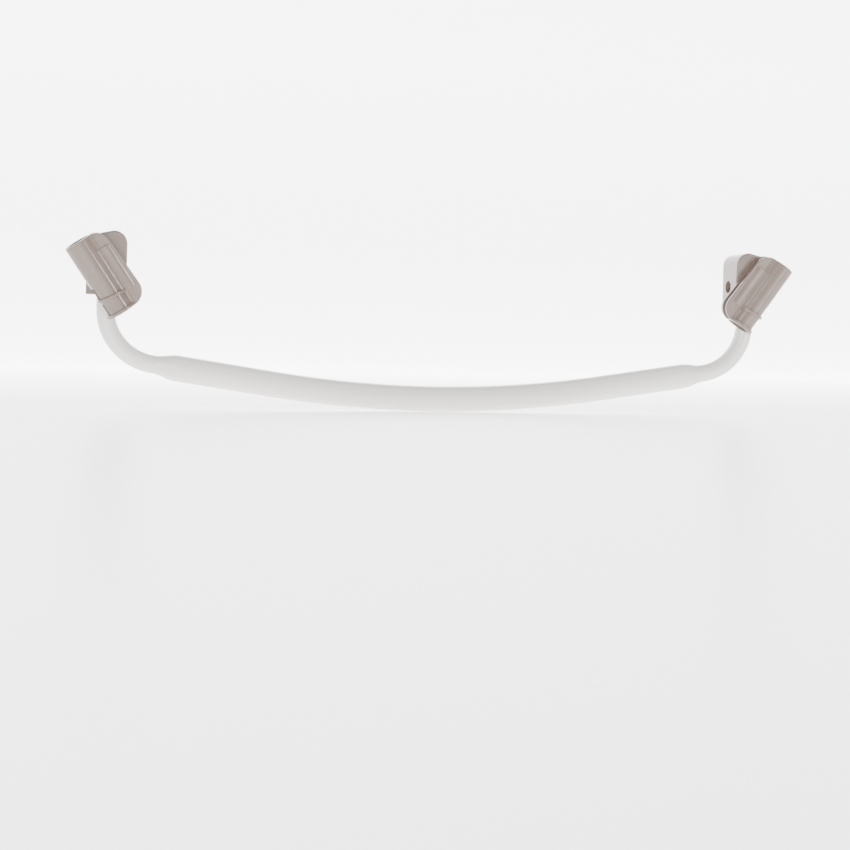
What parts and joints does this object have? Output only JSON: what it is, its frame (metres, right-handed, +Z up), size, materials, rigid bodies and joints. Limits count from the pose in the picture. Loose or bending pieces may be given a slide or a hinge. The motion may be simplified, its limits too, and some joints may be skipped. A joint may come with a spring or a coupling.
{
  "type": "crib rocker bar",
  "caption": "Bowed tubular rocker bar whose upturned ends carry sprung, padded clips that snap round a crib's legs, with a snap button locking each end.",
  "frame": {"origin": "point where the middle of the tube's belly touches the floor", "axes": "+X along the bar towards the right end, +Z up, the clips on the -Y side"},
  "size_m": [0.7318, 0.0588, 0.1679],
  "materials": {
    "powder_coat": "gloss white powder coat on steel tube",
    "clip_moulding": "semi-gloss warm grey moulded plastic",
    "pad_rubber": "matt dark moulded rubber",
    "pin_steel": "ground steel pin",
    "spring_steel": "oiled spring steel",
    "button_steel": "plated, lightly brushed"
  },
  "bodies": {
    "bar": {"rocker_tube": "powder_coat", "left_socket_jaw": "clip_moulding", "left_rear_pad": "pad_rubber", "left_jaw_spring": "spring_steel", "left_button_spring": "spring_steel", "right_socket_jaw": "clip_moulding", "right_rear_pad": "pad_rubber", "right_jaw_spring": "spring_steel", "right_button_spring": "spring_steel"},
    "left_jaw": {"left_front_jaw": "clip_moulding", "left_front_pad": "pad_rubber", "left_hinge_pin": "pin_steel"},
    "right_jaw": {"right_front_jaw": "clip_moulding", "right_front_pad": "pad_rubber", "right_hinge_pin": "pin_steel"},
    "left_button": {"left_snap_button": "button_steel"},
    "right_button": {"right_snap_button": "button_steel"}
  },
  "joints": [
    {"name": "left_jaw_hinge", "type": "hinge", "parent": "bar", "child": "left_jaw", "pos_m": [-0.3178, -0.02499, 0.13462], "axis": [-0.555, -0.1219, 0.8229], "range_deg": [0, 38], "stiffness_Nm_per_rad": 0.4, "springref_deg": -14.32, "deforming": ["left_jaw_spring"]},
    {"name": "right_jaw_hinge", "type": "hinge", "parent": "bar", "child": "right_jaw", "pos_m": [0.3178, -0.02499, 0.13462], "axis": [-0.555, 0.1219, -0.8229], "range_deg": [0, 38], "stiffness_Nm_per_rad": 0.4, "springref_deg": -14.32, "deforming": ["right_jaw_spring"]},
    {"name": "left_button_press", "type": "slide", "parent": "bar", "child": "left_button", "axis": [-1, 0, 0], "range_m": [0, 0.0056], "stiffness_N_per_m": 600, "springref_m": -0.001, "deforming": ["left_button_spring"]},
    {"name": "right_button_press", "type": "slide", "parent": "bar", "child": "right_button", "axis": [1, 0, 0], "range_m": [0, 0.0056], "stiffness_N_per_m": 600, "springref_m": -0.001, "deforming": ["right_button_spring"]}
  ]
}
